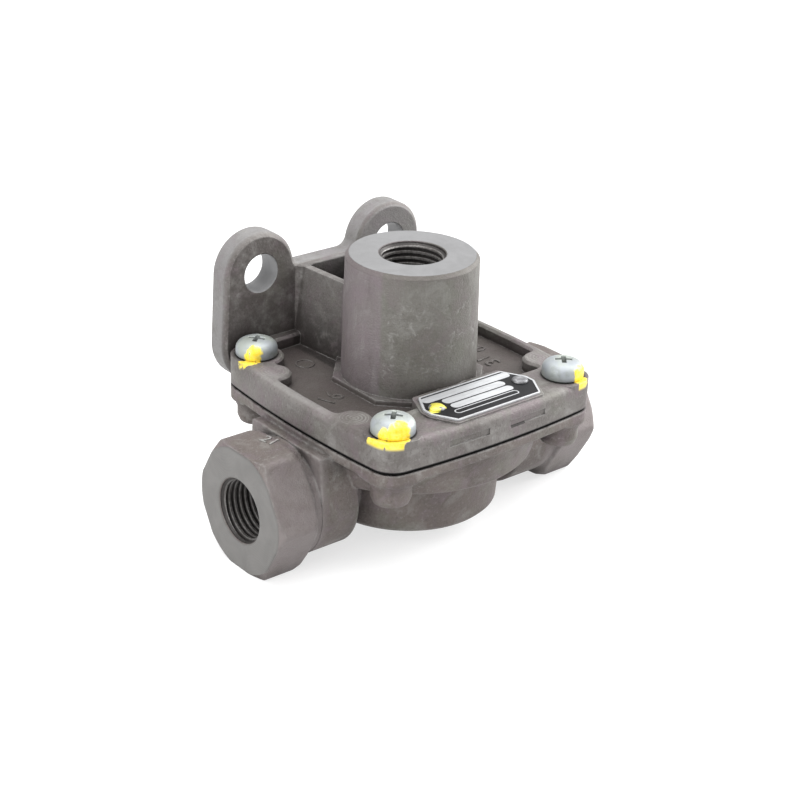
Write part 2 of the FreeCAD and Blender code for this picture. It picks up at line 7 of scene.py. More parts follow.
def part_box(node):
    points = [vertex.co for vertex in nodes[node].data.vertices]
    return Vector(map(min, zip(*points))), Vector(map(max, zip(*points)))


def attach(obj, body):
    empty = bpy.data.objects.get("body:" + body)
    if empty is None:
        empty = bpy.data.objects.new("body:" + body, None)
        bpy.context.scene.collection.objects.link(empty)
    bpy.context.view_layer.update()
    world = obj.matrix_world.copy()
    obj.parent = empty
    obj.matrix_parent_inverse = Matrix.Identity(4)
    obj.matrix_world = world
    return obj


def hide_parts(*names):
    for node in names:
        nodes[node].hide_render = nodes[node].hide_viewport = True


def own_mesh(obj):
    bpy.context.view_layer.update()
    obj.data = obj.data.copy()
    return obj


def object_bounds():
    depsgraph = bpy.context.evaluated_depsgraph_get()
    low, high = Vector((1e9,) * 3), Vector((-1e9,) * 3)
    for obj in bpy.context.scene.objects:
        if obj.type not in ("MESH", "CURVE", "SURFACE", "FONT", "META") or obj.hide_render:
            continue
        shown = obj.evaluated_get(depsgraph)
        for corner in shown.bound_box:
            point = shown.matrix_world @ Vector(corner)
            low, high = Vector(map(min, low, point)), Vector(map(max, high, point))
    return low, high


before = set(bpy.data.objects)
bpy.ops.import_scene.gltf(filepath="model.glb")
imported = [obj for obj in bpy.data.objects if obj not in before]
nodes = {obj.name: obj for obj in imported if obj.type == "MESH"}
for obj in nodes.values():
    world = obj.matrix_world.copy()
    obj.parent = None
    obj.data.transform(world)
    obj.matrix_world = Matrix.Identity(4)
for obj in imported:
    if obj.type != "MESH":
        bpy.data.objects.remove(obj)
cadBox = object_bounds()

# patterns and new pieces are laid out in millimetres about the valve's own axis, with z = 0
# on the joint face under the cover; this is where that point lies in the frame
valveAxis = Vector((0, -0.0395, -0.0245))
mm = 0.001


# Shader nodes

class Signal:
    # one output socket; an expression on it adds the Math nodes
    def __init__(self, finish, socket):
        self.finish = finish
        self.socket = socket

    def maths(self, operation, *values):
        return self.finish.add("Math", {"operation": operation}, values)

    def __add__(self, other):
        return self.maths("ADD", self, other)

    def __radd__(self, other):
        return self.maths("ADD", other, self)

    def __sub__(self, other):
        return self.maths("SUBTRACT", self, other)

    def __rsub__(self, other):
        return self.maths("SUBTRACT", other, self)

    def __mul__(self, other):
        return self.maths("MULTIPLY", self, other)

    def __rmul__(self, other):
        return self.maths("MULTIPLY", other, self)

    def __truediv__(self, other):
        return self.maths("DIVIDE", self, other)

    def __abs__(self):
        return self.maths("ABSOLUTE", self)

    def __pow__(self, other):
        return self.maths("POWER", self, other)

    def least(self, other):
        return self.maths("MINIMUM", self, other)

    def most(self, other):
        return self.maths("MAXIMUM", self, other)

    def wave(self, period):
        return self.maths("SINE", self * (2 * math.pi / period))

    def ramp(self, low, high):
        # 0 at low, 1 at high and smooth between; low may be the greater
        settings = {"interpolation_type": "SMOOTHSTEP"}
        return self.finish.add("MapRange", settings, {"Value": self, "From Min": low, "From Max": high})

    def between(self, low, high, soft):
        return self.ramp(low - soft, low + soft) * self.ramp(high + soft, high - soft)


class Finish:
    # one material, with its Principled shader and the methods that add its nodes
    def __init__(self, name, **fixed):
        self.material = bpy.data.materials.new(name)
        self.material.use_nodes = True
        self.tree = self.material.node_tree
        self.surface = self.tree.nodes["Principled BSDF"]
        for socket, value in fixed.items():
            self.surface.inputs[socket.replace("_", " ")].default_value = value
        # millimetres about the valve's axis
        place = self.add("TexCoord", output="Object")
        shift = -valveAxis / mm
        scale = (1 / mm, 1 / mm, 1 / mm)
        self.local = self.add("Mapping", inputs={"Vector": place, "Location": shift, "Scale": scale})
        self.x, self.y, self.z = self.parts(self.local)

    def add(self, kind, settings=None, inputs=(), output=0):
        made = self.tree.nodes.new("ShaderNode" + kind)
        for key, value in (settings or {}).items():
            setattr(made, key, value)
        pairs = inputs.items() if isinstance(inputs, dict) else enumerate(inputs)
        for key, value in pairs:
            if isinstance(value, Signal):
                self.tree.links.new(value.socket, made.inputs[key])
            else:
                made.inputs[key].default_value = value
        return Signal(self, made.outputs[output])

    def parts(self, vector):
        made = self.add("SeparateXYZ", inputs=(vector,)).socket.node
        return [Signal(self, socket) for socket in made.outputs]

    def length(self, *sides):
        total = sides[0] * sides[0]
        for side in sides[1:]:
            total = total + side * side
        return total ** 0.5

    def noise(self, size, detail=3.0, rough=0.55, stretch=(1, 1, 1), shift=0.0, warp=0.0):
        # size is the size of a patch in millimetres
        offset = (shift, shift, shift)
        where = self.add("Mapping", inputs={"Vector": self.local, "Location": offset, "Scale": stretch})
        inputs = {"Vector": where, "Scale": 1 / size, "Detail": detail, "Roughness": rough,
                  "Distortion": warp}
        return self.add("TexNoise", inputs=inputs)

    def cells(self, size):
        return self.add("TexVoronoi", {"feature": "F1"}, {"Vector": self.local, "Scale": 1 / size})

    def blend(self, mask, first, second):
        # first where the mask is 0, second where it is 1; a colour is a tuple or a Signal
        settings = {"data_type": "RGBA", "blend_type": "MIX", "clamp_factor": True}
        return self.add("Mix", settings, {0: mask, 6: self.shade(first), 7: self.shade(second)}, output=2)

    def shade(self, colour):
        return colour if isinstance(colour, Signal) else (*colour, 1)

    def edges(self, radius, samples=6):
        # normals as if the edges were rounded by this radius, in millimetres
        return self.add("Bevel", {"samples": samples}, {"Radius": radius * mm})

    def edgeMask(self, rounded):
        # 1 where the rounded normal leaves the true one
        flat = self.add("NewGeometry", output="Normal")
        same = self.add("VectorMath", {"operation": "DOT_PRODUCT"}, (rounded, flat), output="Value")
        return (1 - same).ramp(0.01, 0.16)

    def bump(self, height, depth, normal=None):
        # depth in millimetres for a height of 1
        inputs = {"Height": height, "Distance": depth * mm, "Strength": 1.0}
        if normal:
            inputs["Normal"] = normal
        return self.add("Bump", inputs=inputs)

    def feed(self, **sockets):
        for socket, value in sockets.items():
            self.tree.links.new(value.socket, self.surface.inputs[socket.replace("_", " ")])
        return self.material


# Yellow paint seals, as round dabs (x, y, radius) seen from above

paint = {
    "colour": (0.80, 0.575, 0.030),
    "thin": (0.82, 0.68, 0.13),
    "green": (0.62, 0.60, 0.085),
    "rough": 0.42,
    "ragged": 2.2,             # how far the outline wanders, in millimetres
    "thickness": 2.2,          # of the coat, in units of the finish's bump
    "fade": (0.22, -0.18),     # from bare to covered, in millimetres out of a dab's edge
    "dabs": {
        "frontLeft": [(-29.4, -29.8, 1.1), (-27.9, -30.4, 1.3), (-26.5, -30.7, 1.2), (-27.0, -29.6, 0.9),
                      (-32.5, -26.7, 0.8), (-32.8, -25.5, 0.45), (-31.4, -28.5, 1.2), (-30.5, -30.3, 1.2),
                      (-29.2, -31.2, 1.1), (-28.0, -31.5, 0.8)],
        "rearLeft": [(-32.0, 23.8, 0.7), (-31.5, 22.9, 0.9), (-30.6, 22.1, 0.85), (-29.8, 21.7, 0.6),
                     (-30.7, 23.7, 0.6), (-29.6, 22.9, 0.9), (-28.6, 22.2, 0.8)],
        "frontRight": [(26.2, -31.2, 0.9), (27.6, -30.9, 1.1), (28.9, -30.6, 0.8), (26.4, -32.5, 0.8),
                       (27.6, -31.9, 0.9)],
        "plateRivet": [(-11.4, -24.0, 1.6), (-12.9, -24.9, 1.3), (-10.2, -23.9, 1.0), (-13.9, -25.2, 0.5)],
    },
}


def paintMask(finish, *groups):
    ragged = (finish.noise(2.0, detail=2, rough=0.55, shift=7.0) - 0.5) * paint["ragged"]
    bare, covered = paint["fade"]
    mask = None
    for group in groups:
        for x, y, r in paint["dabs"][group]:
            away = finish.length(finish.x - x, finish.y - y) + ragged
            dab = away.ramp(r + bare, r + covered)
            mask = mask.most(dab) if mask else dab
    return mask


def painted(finish, mask, colour, rough, height, thick="colour", thin="thin"):
    # lays the paint over a finish: its colour, thinner in streaks and at the edge, roughness and height
    streak = finish.noise(0.9, detail=3, shift=3.0)
    tone = finish.blend(streak.ramp(0.3, 0.7).most(mask.ramp(0.98, 0.5)), paint[thick], paint[thin])
    colour = finish.blend(mask, colour, tone)
    rough = rough * (1 - mask) + mask * paint["rough"]
    height = height * (1 - mask) + mask * (paint["thickness"] + streak)
    return colour, rough, height


# Cover screws; the castings' painted shadow round their heads and the paint follow their heads

screw = {
    "reach": 26.2,                         # screw axis to the valve's axis, along x and y
    "seat": 7.2,
    "headRadius": 5.1,
    "underside": [(0.45, 0), (0.15, 0.1), (0, 0.4)],       # in from the rim, up from the seat
    "edgeHeight": 1.5,
    "headHeight": 4.3,
    "fullness": 2.4,                       # exponent of the dome's curve
    "domeSteps": 12,
    "steps": 64,
    "shankRadius": 2.9,
    "length": 15.8,
    "tipChamfer": 0.5,
    "crossLength": 5.3,
    "crossWidth": 1.35,
    "crossDepth": 2.3,
    "crossTaper": (0.42, 0.60, 1),         # of a blade's foot
    # side along x, side along y, turn of the cross in degrees
    "places": {
        "rear_left": (-1, 1, 38),
        "rear_right": (1, 1, 12),
        "front_left": (-1, -1, 46),
        "front_right": (1, -1, 50),
    },
}


# Castings

casting = {
    "coverTone": (0.140, 0.130, 0.123),
    "bodyTone": (0.121, 0.102, 0.093),
    "darkTone": (0.050, 0.040, 0.036),
    "plumTone": (0.137, 0.108, 0.118),
    "greenTone": (0.122, 0.124, 0.100),
    "oliveTone": (0.108, 0.108, 0.090),
    "violetTone": (0.150, 0.124, 0.134),
    "paleTone": (0.29, 0.285, 0.275),
    "machinedTone": (0.188, 0.188, 0.191),
    "faceTone": (0.129, 0.124, 0.118),
    "ringTone": (0.30, 0.30, 0.30),
    "stainTone": (0.048, 0.040, 0.036),
    "bracketTone": (0.165, 0.163, 0.165),
    # painted highlight on the lugs' edge and sides
    "lugSideHighlight": (0.215, 0.214, 0.216),
    "flankTone": (0.170, 0.150, 0.148),
    # the next two are painted shade for the corners of each casting
    "coverCreviceShade": (0.026, 0.021, 0.019),
    "bodyCreviceShade": (0.028, 0.022, 0.020),
    # nearly black: painted shade in deep hollows and thread roots, and dirt in the joint
    "shadeAndGrime": (0.016, 0.013, 0.012),
    "bossTop": 35.9,
    "bossRadius": 18.2,
    "violetSide": (-0.423, 0.906),         # where the boss turns violet, along x and y
    "bracketFront": (31.0, 33.4),          # y from, to
    "recessSide": 30.4,
    "padTop": 7.1,
    "padRadius": 3.3,
    "boltHole": (20, 24.5, 4.95),          # x, z, radius
    "dent": (3.0, 7.4, 2.7, 3.3),          # x from, to, z from, to
    "ejectorPads": [(-28.9, -15.6), (-28.9, 15.6), (28.9, 15.6), (28.9, -15.6)],
    "portFace": 49.7,
    "portHeight": -17.0,
    "edgeRound": 0.45,
}


def castTones(finish, tone):
    # mottled skin of a die casting: broad clouds, tinted patches and a fine grain
    cloud = finish.noise(16, detail=4, rough=0.6, warp=0.4)
    patch = finish.noise(7, detail=4, rough=0.6, shift=31.0, warp=0.8)
    tint = finish.noise(11, detail=3, shift=67.0)
    speck = finish.noise(0.7, detail=4, rough=0.7)
    colour = finish.blend(cloud.ramp(0.62, 0.32) * 0.50, tone, casting["darkTone"])
    colour = finish.blend(patch.ramp(0.47, 0.66) * 0.65, colour, casting["plumTone"])
    colour = finish.blend(tint.ramp(0.52, 0.70) * 0.50, colour, casting["greenTone"])
    colour = finish.blend(patch.ramp(0.48, 0.30) * 0.30, colour, casting["paleTone"])
    colour = finish.blend(speck.ramp(0.54, 0.74) * 0.38, colour, casting["paleTone"])
    colour = finish.blend(speck.ramp(0.46, 0.27) * 0.60, colour, casting["darkTone"])
    rough = 0.50 + cloud * 0.10 + speck * 0.10
    grain = finish.noise(0.45, detail=3, rough=0.6, shift=12.0)
    height = grain * 2 + patch * 1.2 + finish.cells(1.4) * 0.5
    return colour, rough, height


def creviceShade(finish, reach, tone, colour):
    # painted shade: the colour darkens where the skin is shut in, found by ambient occlusion
    shut = finish.add("AmbientOcclusion", {"samples": 6}, {"Distance": reach * mm}, output="AO")
    return finish.blend(shut.ramp(0.85, 0.20), colour, tone)


def machined(finish, mask, radius, colour, rough, height, tone="machinedTone"):
    # a turned face: smooth, with fine rings about its centre
    rings = radius.wave(0.34) * 0.5 + 0.5
    smear = finish.noise(5, detail=3, shift=5.0, warp=0.5)
    bare = casting[tone]
    metal = finish.blend(smear.ramp(0.3, 0.7), bare, tuple(0.86 * part for part in bare))
    metal = finish.blend(rings * 0.12, metal, casting["ringTone"])
    colour = finish.blend(mask, colour, metal)
    rough = rough * (1 - mask) + mask * (0.36 + smear * 0.14)
    height = height * (1 - mask) + mask * rings * 0.16
    return colour, rough, height


def wornAndLitEdges(finish, rounded, share, colour):
    # edges a little paler: partly rubbed wear, partly a painted highlight along them
    worn = finish.edgeMask(rounded) * finish.noise(2.4, detail=4, shift=41.0).ramp(0.35, 0.6)
    return finish.blend(worn * share, colour, casting["paleTone"])


def bossTones(finish, axis, colour):
    # violet towards the left, olive in front, and streaked where the die let go of the boss
    x, y, z = finish.x, finish.y, finish.z
    boss = axis.ramp(casting["bossRadius"] + 0.6, casting["bossRadius"]) * z.ramp(5.2, 6.0)
    sideX, sideY = casting["violetSide"]
    leftSide = (x * sideX + y * sideY).ramp(-0.6, 0.6)
    colour = finish.blend(boss * leftSide * 0.55, colour, casting["violetTone"])
    colour = finish.blend(boss * (1 - leftSide) * 0.40, colour, casting["oliveTone"])
    streak = finish.noise(2.4, detail=5, rough=0.62, stretch=(1, 1, 0.22), shift=44.0, warp=0.5)
    colour = finish.blend(boss * streak.ramp(0.54, 0.78) * 0.22, colour, casting["paleTone"])
    colour = finish.blend(boss * streak.ramp(0.46, 0.25) * 0.38, colour, casting["darkTone"])
    # pale oxide blotches in front
    flake = finish.noise(2.2, detail=5, rough=0.66, shift=90.0, warp=0.9)
    region = boss * (1 - leftSide) * z.between(11, 30, 4) * finish.noise(8, shift=55.0).ramp(0.38, 0.55)
    return finish.blend(flake.ramp(0.52, 0.68) * region * 0.46, colour, casting["paleTone"])


def bracketTones(finish, stain, colour):
    # the front of the lugs is stained, the left one the more; their edge and the sides behind it are painted
    # paler, a painted highlight
    x, y, z = finish.x, finish.y, finish.z
    front = y.between(*casting["bracketFront"], 0.25) * z.ramp(2, 6)
    left = x.ramp(6, -6) * 0.65 + 0.35
    colour = finish.blend(front * left * stain.ramp(0.40, 0.58) * 0.48, colour, casting["stainTone"])
    colour = finish.blend(front * left * stain.ramp(0.42, 0.30) * 0.30, colour, casting["paleTone"])
    colour = finish.blend(front * (1 - left) * 0.6, colour, casting["bracketTone"])
    edge = y.ramp(33.5, 34.3) * (stain.ramp(0.3, 0.6) * 0.30 + 0.28)
    return finish.blend(edge, colour, casting["lugSideHighlight"])


def coverDirtAndShade(finish, stain, colour):
    # the left rail is dark in front and pale further back
    x, y, z = finish.x, finish.y, finish.z
    smudge = finish.length(x + 27, y + 20).ramp(13, 5) * z.ramp(5.5, 6.5)
    colour = finish.blend(smudge * 0.55, colour, casting["darkTone"])
    rail = x.ramp(-28, -30) * y.between(-10, 20, 3) * z.ramp(6.6, 7.0)
    colour = finish.blend(rail * 0.22, colour, casting["paleTone"])
    # painted shade: darker on the floor of the recess round the boss
    side = casting["recessSide"]
    inside = abs(x).ramp(side + 0.8, side) * y.ramp(side + 1.2, side + 0.6) * y.ramp(-side - 0.8, -side)
    floor = z.between(3.5, 5.0, 0.3) * inside
    colour = finish.blend(floor * (0.58 + stain * 0.40), colour, casting["darkTone"])
    # painted shade on the ribs, the more so towards their foot, broken up by the stain
    ribs = abs(x).between(4.5, 12, 0.5) * y.between(14, 32.6, 0.6) * z.ramp(26.5, 25.5)
    ribShade = ribs * (z.ramp(20, 5) * 0.65 + 0.22) * stain.ramp(0.15, 0.55)
    colour = finish.blend(ribShade, colour, casting["shadeAndGrime"])
    # painted shade in the corners
    return creviceShade(finish, 9, casting["coverCreviceShade"], colour)


def padRings(finish, stain, colour, height):
    # rings left by the ejector pins
    top, radius = casting["padTop"], casting["padRadius"]
    for padX, padY in casting["ejectorPads"]:
        pad = finish.length(finish.x - padX, finish.y - padY)
        disc = pad.ramp(radius + 0.2, radius) * finish.z.ramp(top - 0.2, top)
        rings = pad.wave(0.80) * 0.5 + 0.5
        colour = finish.blend(disc * rings * stain.ramp(0.3, 0.6) * 0.30, colour, casting["paleTone"])
        height = height + disc * rings * 0.7
    return colour, height


def jointDirtAndShade(finish, colour):
    # dirt in the joint; painted shadow round the foot of the screw heads and painted shade in one dent in
    # front
    x, y, z = finish.x, finish.y, finish.z
    joint = z.between(-0.1, 0.18, 0.05) * y.ramp(33.6, 33.2)
    head = finish.length(abs(x) - screw["reach"], abs(y) - screw["reach"])
    foot = head.between(4.9, 5.40, 0.12) * z.ramp(6.5, 7.0)
    x0, x1, z0, z1 = casting["dent"]
    dent = x.between(x0, x1, 0.12) * z.between(z0, z1, 0.12) * y.ramp(-31, -32)
    return finish.blend(joint.most(foot).most(dent) * 0.88, colour, casting["shadeAndGrime"])


def coverFinish():
    finish = Finish("castingCover", Metallic=0.30, IOR=1.5)
    x, y, z = finish.x, finish.y, finish.z
    axis = finish.length(x, y)
    stain = finish.noise(3.2, detail=5, rough=0.65, shift=20.0)
    colour, rough, height = castTones(finish, casting["coverTone"])
    colour = bossTones(finish, axis, colour)
    colour = bracketTones(finish, stain, colour)
    colour = coverDirtAndShade(finish, stain, colour)
    colour, height = padRings(finish, stain, colour, height)
    rounded = finish.edges(casting["edgeRound"])
    colour = wornAndLitEdges(finish, rounded, 0.50, colour)

    # the turned top of the boss, with painted shade on its chamfer, and the drilled bolt holes
    bossTop = casting["bossTop"]
    top = z.ramp(bossTop - 0.06, bossTop - 0.02) * axis.ramp(16.4, 16.2)
    chamfer = z.ramp(bossTop - 1.2, bossTop - 0.9) * axis.ramp(18.5, 18)
    colour = finish.blend(chamfer * (1 - top) * 0.38, colour, casting["darkTone"])
    colour, rough, height = machined(finish, top, axis, colour, rough, height)
    boltX, boltZ, boltRadius = casting["boltHole"]
    bolt = finish.length(abs(x) - boltX, z - boltZ)
    hole = bolt.ramp(boltRadius + 0.1, boltRadius) * y.ramp(31, 32)
    colour, rough, height = machined(finish, hole, y, colour, rough, height)

    # painted shade: the pocket between the ribs is nearly black
    pocket = abs(x).ramp(5.7, 5.1) * y.between(16, 32, 0.5) * z.ramp(25.4, 24.4)
    colour = finish.blend(pocket * 0.55, colour, casting["shadeAndGrime"])
    colour = jointDirtAndShade(finish, colour)
    seal = paintMask(finish, "frontLeft", "rearLeft", "frontRight") * z.ramp(5.2, 6.2) * z.ramp(12, 11)
    colour, rough, height = painted(finish, seal, colour, rough, height)
    return finish.feed(Base_Color=colour, Roughness=rough, Normal=finish.bump(height, 0.07, rounded))


def bodyFinish():
    finish = Finish("castingBody", Metallic=0.30, IOR=1.5)
    x, y, z = finish.x, finish.y, finish.z
    colour, rough, height = castTones(finish, casting["bodyTone"])

    # dirt and painted shade under the flange, and painted shade in the corners
    shadeAndGrime = finish.noise(4, detail=5, rough=0.6, shift=9.0)
    under = z.between(-6.5, -3.2, 1.0) * abs(x).ramp(40, 34)
    colour = finish.blend(under * shadeAndGrime.ramp(0.30, 0.65) * 0.45, colour, casting["darkTone"])
    colour = creviceShade(finish, 6, casting["bodyCreviceShade"], colour)
    # painted shade: darker low on the cup; the flanks of the collars are paler
    cup = z.ramp(-13, -22) * abs(x).ramp(31, 28)
    colour = finish.blend(cup * 0.22, colour, casting["darkTone"])
    flank = abs(x).ramp(34, 37) * abs(y).ramp(5, 12)
    colour = finish.blend(flank * (shadeAndGrime.ramp(0.3, 0.6) * 0.4 + 0.45), colour, casting["flankTone"])

    rounded = finish.edges(casting["edgeRound"] * 3, samples=8)
    colour = wornAndLitEdges(finish, rounded, 0.38, colour)
    port = finish.length(y, z - casting["portHeight"])
    face = abs(x).ramp(casting["portFace"] - 0.06, casting["portFace"] - 0.02)
    colour, rough, height = machined(finish, face, port, colour, rough, height, "faceTone")
    return finish.feed(Base_Color=colour, Roughness=rough, Normal=finish.bump(height, 0.075, rounded))


def markFinish():
    # raised figures that rubbing has left paler than the skin round them
    finish = Finish("rubbedMark", Metallic=0.30, IOR=1.5)
    colour, rough, height = castTones(finish, casting["paleTone"])
    return finish.feed(Base_Color=colour, Roughness=rough, Normal=finish.bump(height, 0.05))


thread = {
    "tones": [(0.105, 0.100, 0.096), (0.19, 0.183, 0.177)],
    "oilTone": (0.060, 0.052, 0.048),
    "pitch": 1.5,
    "crest": 7.19,
    "root": 7.90,
    "wall": 7.93,
    "mouthDepth": 0.95,
    "steps": 60,
    "ports": {
        # name: foot of the thread, its length and the way out
        "port_1_thread": ((0, 0, 20.95), 14.75, (0, 0, 1)),
        "port_21_thread": ((-34.75, 0, -17.0), 14.75, (-1, 0, 0)),
        "port_22_thread": ((34.75, 0, -17.0), 14.75, (1, 0, 0)),
    },
}


def threadFinish():
    finish = Finish("cutThread", Metallic=0.55, IOR=1.5)
    chatter = finish.noise(0.5, detail=3, stretch=(1, 1, 0.4))
    oil = finish.noise(3.5, detail=3, shift=17.0)
    colour = finish.blend(chatter.ramp(0.35, 0.7), *thread["tones"])
    colour = finish.blend(oil.ramp(0.45, 0.7) * 0.5, colour, thread["oilTone"])
    # painted shade: black in the roots of the thread
    side = finish.length(finish.y, finish.z - casting["portHeight"])
    upper = finish.length(finish.x, finish.y)
    sideways = abs(finish.x).ramp(24, 26)
    radius = upper * (1 - sideways) + side * sideways
    colour = finish.blend(radius.between(7.42, 7.95, 0.1) * 0.85, colour, casting["shadeAndGrime"])
    return finish.feed(Base_Color=colour, Roughness=0.42 + oil * 0.2, Normal=finish.bump(chatter, 0.02))


# Fasteners, plate and the pieces inside

zinc = {
    "tone": (0.325, 0.350, 0.325),
    "coolTone": (0.285, 0.305, 0.325),
    "dullTone": (0.20, 0.215, 0.19),
    # painted shade in the cross recess and under the head
    "recessShade": (0.022, 0.026, 0.024),
}


def screwFinish():
    finish = Finish("zincPlate", Metallic=0.55, IOR=1.5)
    cloud = finish.noise(2.6, detail=4, rough=0.6, warp=0.5)
    haze = finish.noise(4.5, detail=2, shift=77.0)
    grain = finish.noise(0.35, detail=3)
    colour = finish.blend(haze.ramp(0.35, 0.65), zinc["tone"], zinc["coolTone"])
    colour = finish.blend(cloud.ramp(0.52, 0.72) * 0.5, colour, zinc["dullTone"])
    # whatever lies under the dome is the cross recess; it and the head's foot get painted shade
    crown = finish.length(abs(finish.x) - screw["reach"], abs(finish.y) - screw["reach"])
    power = screw["fullness"]
    bow = (1 - (crown / screw["headRadius"]).least(1) ** power).most(0) ** (1 / power)
    dome = screw["seat"] + screw["edgeHeight"] + bow * (screw["headHeight"] - screw["edgeHeight"])
    sunk = (dome - finish.z).ramp(0.02, 0.30) * crown.ramp(3.6, 3.3) * 0.82
    foot = finish.z.between(screw["seat"] - 0.1, screw["seat"] + 0.3, 0.1)
    colour = finish.blend(sunk.most(foot) * 0.92, colour, zinc["recessShade"])
    rough = 0.46 + cloud * 0.18
    height = grain + cloud * 0.8
    seal = paintMask(finish, "frontLeft", "rearLeft", "frontRight") * finish.z.ramp(6.9, 7.1)
    colour, rough, height = painted(finish, seal, colour, rough, height)
    return finish.feed(Base_Color=colour, Roughness=rough, Normal=finish.bump(height, 0.02))


plate = {
    "centre": (1.1, -24.575),
    "half": (16.0, 7.175),
    "corner": (3.3, 5.8),      # how much each corner takes off, along x and y
    "border": 0.52,
    "ink": (0.006, 0.006, 0.007),
    "wornInk": (0.022, 0.022, 0.024),
    "bare": (0.60, 0.612, 0.625),
    "brushed": (0.50, 0.51, 0.525),
    "dull": (0.40, 0.40, 0.41),
    # printed fields: x from, x to, y from, y to
    "bars": [(-12.4, 14.4, -21.05, -18.5), (-8.5, 10.3, -23.95, -21.45), (-8.4, 10.3, -26.75, -24.4)],
    # an empty field, in outline only
    "field": (-9.5, 9.6, -29.1, -27.4),
    "line": 0.14,
    "soft": 0.05,              # half the width of a printed edge
}


def plateEdge(finish):
    # millimetres inside the plate's outline
    cx, cy = plate["centre"]
    hx, hy = plate["half"]
    dx, dy = plate["corner"]
    x = abs(finish.x - cx)
    y = abs(finish.y - cy)
    slant = math.hypot(dx, dy)
    corner = (hx * dy + hy * dx - dx * dy - x * dy - y * dx) * (1 / slant)
    return (hx - x).least(hy - y).least(corner)


def roundedBar(finish, x0, x1, y0, y1):
    # millimetres inside a bar with round ends
    r = (y1 - y0) / 2
    along = (abs(finish.x - (x0 + x1) / 2) - ((x1 - x0) / 2 - r)).most(0.0)
    across = finish.y - (y0 + y1) / 2
    return r - finish.length(along, across)


def plateFinish():
    finish = Finish("printedPlate", IOR=1.5, Specular_IOR_Level=0.2)
    inside = plateEdge(finish)
    soft = plate["soft"]
    bare = inside.ramp(plate["border"] + soft, plate["border"] - soft)
    for bar in plate["bars"]:
        bare = bare.most(roundedBar(finish, *bar).ramp(-soft, soft))
    outline = abs(roundedBar(finish, *plate["field"]))
    bare = bare.most(outline.ramp(plate["line"] + soft, plate["line"] - soft))
    brush = finish.noise(0.5, detail=3, stretch=(0.12, 1, 1))
    smudge = finish.noise(3, detail=4, shift=13.0)
    metal = finish.blend(brush.ramp(0.3, 0.7), plate["bare"], plate["brushed"])
    metal = finish.blend(smudge.ramp(0.5, 0.75) * 0.35, metal, plate["dull"])
    ink = finish.blend(smudge.ramp(0.45, 0.8) * 0.5, plate["ink"], plate["wornInk"])
    colour = finish.blend(bare, ink, metal)
    rough = 0.46 + smudge * 0.15 - bare * 0.06
    height = bare * 1.5 + brush * 0.15
    seal = paintMask(finish, "plateRivet")
    colour, rough, height = painted(finish, seal, colour, rough, height, "thin", "green")
    rounded = finish.edges(0.15)
    return finish.feed(Base_Color=colour, Roughness=rough, Metallic=bare * 0.75 * (1 - seal),
                       Normal=finish.bump(height, 0.03, rounded))


rivet = {
    "tones": [(0.11, 0.11, 0.115), (0.28, 0.28, 0.29)],
    "places": {"left": (-11.8, -24.275), "right": (14.0, -24.275)},
    "seat": 8.2,
    "radius": 2.0,
    "height": 0.95,
    "shank": 0.98,
    "length": 3.4,
    "rim": (0.1, 0.12),        # bevel under the head: inwards, up
    "domeSteps": 8,
    "steps": 48,
}


def rivetFinish():
    finish = Finish("dullRivet", Metallic=0.6, IOR=1.5)
    cloud = finish.noise(1.4, detail=4, rough=0.65)
    colour = finish.blend(cloud.ramp(0.35, 0.7), *rivet["tones"])
    rough = 0.40 + cloud * 0.2
    seal = paintMask(finish, "plateRivet")
    colour, rough, height = painted(finish, seal, colour, rough, cloud, "thin", "green")
    return finish.feed(Base_Color=colour, Roughness=rough, Normal=finish.bump(height, 0.02))


inner = {
    "gasketTone": (0.002, 0.002, 0.002),
    "rubberTone": (0.018, 0.018, 0.018),
    "dust": (0.075, 0.072, 0.069),
    "guideTones": [(0.62, 0.58, 0.48), (0.52, 0.48, 0.39)],
    "wireTones": [(0.42, 0.41, 0.40), (0.26, 0.25, 0.24)],
}


def rubberFinish(name, tone, shine):
    finish = Finish(name, IOR=1.48, Specular_IOR_Level=shine)
    bloom = finish.noise(6, detail=4, rough=0.6)
    grain = finish.noise(0.4, detail=3)
    dusty = tuple(shine * dust + part for dust, part in zip(inner["dust"], tone))
    colour = finish.blend(bloom.ramp(0.45, 0.75) * 0.5, tone, dusty)
    return finish.feed(Base_Color=colour, Roughness=0.62 + grain * 0.2,
                       Normal=finish.bump(grain, 0.02, finish.edges(0.2)))


def guideFinish():
    finish = Finish("guidePlastic", IOR=1.5)
    swirl = finish.noise(3, detail=3, warp=1.0)
    colour = finish.blend(swirl.ramp(0.35, 0.7), *inner["guideTones"])
    return finish.feed(Base_Color=colour, Roughness=0.42 + swirl * 0.12,
                       Normal=finish.bump(swirl, 0.01, finish.edges(0.2)))


def springFinish():
    finish = Finish("springWire", Metallic=0.9, IOR=1.5)
    drawn = finish.noise(0.6, detail=3, stretch=(1, 1, 3))
    colour = finish.blend(drawn.ramp(0.3, 0.7), *inner["wireTones"])
    return finish.feed(Base_Color=colour, Roughness=0.30 + drawn * 0.15, Normal=finish.bump(drawn, 0.01))


finishes = {
    "cover": coverFinish(),
    "body": bodyFinish(),
    "mark": markFinish(),
    "thread": threadFinish(),
    "screw": screwFinish(),
    "plate": plateFinish(),
    "rivet": rivetFinish(),
    "gasket": rubberFinish("gasketSheet", inner["gasketTone"], 0.1),
    "rubber": rubberFinish("sealRubber", inner["rubberTone"], 0.45),
    "guide": guideFinish(),
    "spring": springFinish(),
}
print("finishes made:", len(finishes))

nodeFinishes = {
    "upper_housing": "cover",
    "lower_body": "body",
    "housing_gasket": "gasket",
    "valve_diaphragm": "rubber",
    "diaphragm_guide": "guide",
    "exhaust_flap": "rubber",
    "nameplate": "plate",
}
for node, name in nodeFinishes.items():
    for material in nodes[node].material_slots:
        material.material = finishes[name]


# New pieces

